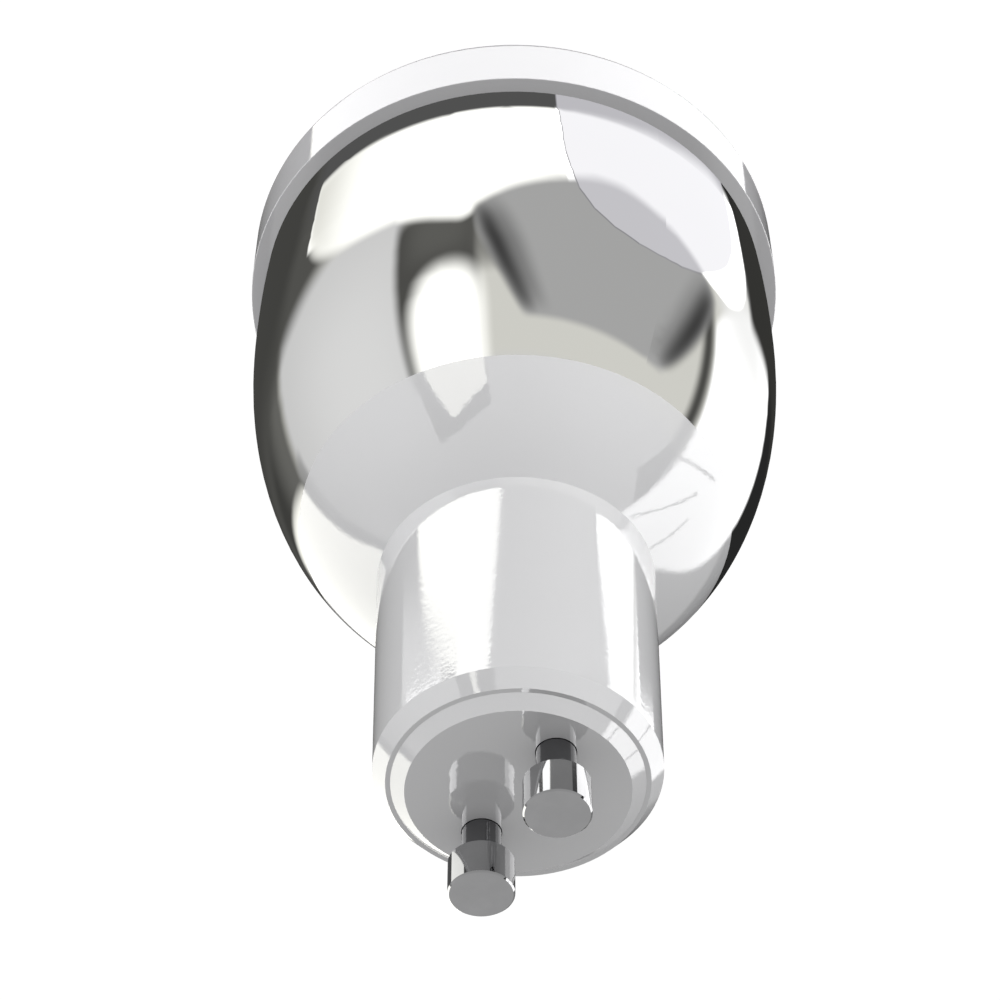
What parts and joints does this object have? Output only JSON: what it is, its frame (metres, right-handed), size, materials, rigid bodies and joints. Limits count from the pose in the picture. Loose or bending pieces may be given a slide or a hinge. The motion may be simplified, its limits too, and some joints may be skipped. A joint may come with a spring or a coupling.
{
  "type": "led spotlight bulb",
  "caption": "Reflector spotlight bulb: flat white bezel, polished chrome bowl, glossy white base and two stubby twist-lock contact pins.",
  "frame": {"origin": "on the lamp's axis, in the flat front face of the bezel, which the lamp stands on", "axes": "+Z along the lamp's axis from the front face to the contact pins; the two contact pins lie on +X and -X"},
  "size_m": [0.0484, 0.0484, 0.0748],
  "materials": {
    "white_plastic": "polished moulded surface",
    "mirror_chrome": "mirror polished plating",
    "dark_nickel": "polished dark nickel plating",
    "clear_lens": "clear moulded, polished",
    "bright_reflector": "bright metallised",
    "clamp_plastic": "moulded, fine texture",
    "screw_steel": "zinc plated",
    "carrier_ceramic": "unglazed",
    "phosphor": "silicone with phosphor",
    "pad_rubber": "soft filled silicone",
    "spreader_aluminium": "as cast",
    "board_laminate": "solder mask",
    "capacitor_sleeve": "shrunk sleeve",
    "film_case": "moulded case",
    "ferrite": "sintered",
    "winding_tape": "tape over copper wire",
    "chip_black": "moulded, tinned legs",
    "resistor_coat": "lacquered",
    "mains_sleeve": "silicone sleeve",
    "positive_sleeve": "extruded sleeve",
    "negative_sleeve": "extruded sleeve"
  },
  "bodies": {
    "root": {"front_bezel": "white_plastic", "rear_housing": "white_plastic", "base_shell": "white_plastic", "end_cap": "white_plastic", "chrome_shell": "mirror_chrome", "contact_pin_left": "dark_nickel", "contact_pin_right": "dark_nickel", "front_lens": "clear_lens", "reflector_cup": "bright_reflector", "clamp_ring": "clamp_plastic", "clamp_screws": "screw_steel", "light_carrier": "carrier_ceramic", "phosphor_disc": "phosphor", "thermal_pad": "pad_rubber", "heat_spreader": "spreader_aluminium", "driver_board": "board_laminate", "storage_capacitor": "capacitor_sleeve", "film_capacitor": "film_case", "transformer_core": "ferrite", "transformer_winding": "winding_tape", "bridge_rectifier": "chip_black", "control_chip": "chip_black", "fusible_resistor": "resistor_coat", "mains_lead_left": "mains_sleeve", "mains_lead_right": "mains_sleeve", "output_lead_positive": "positive_sleeve", "output_lead_negative": "negative_sleeve"}
  },
  "joints": []
}
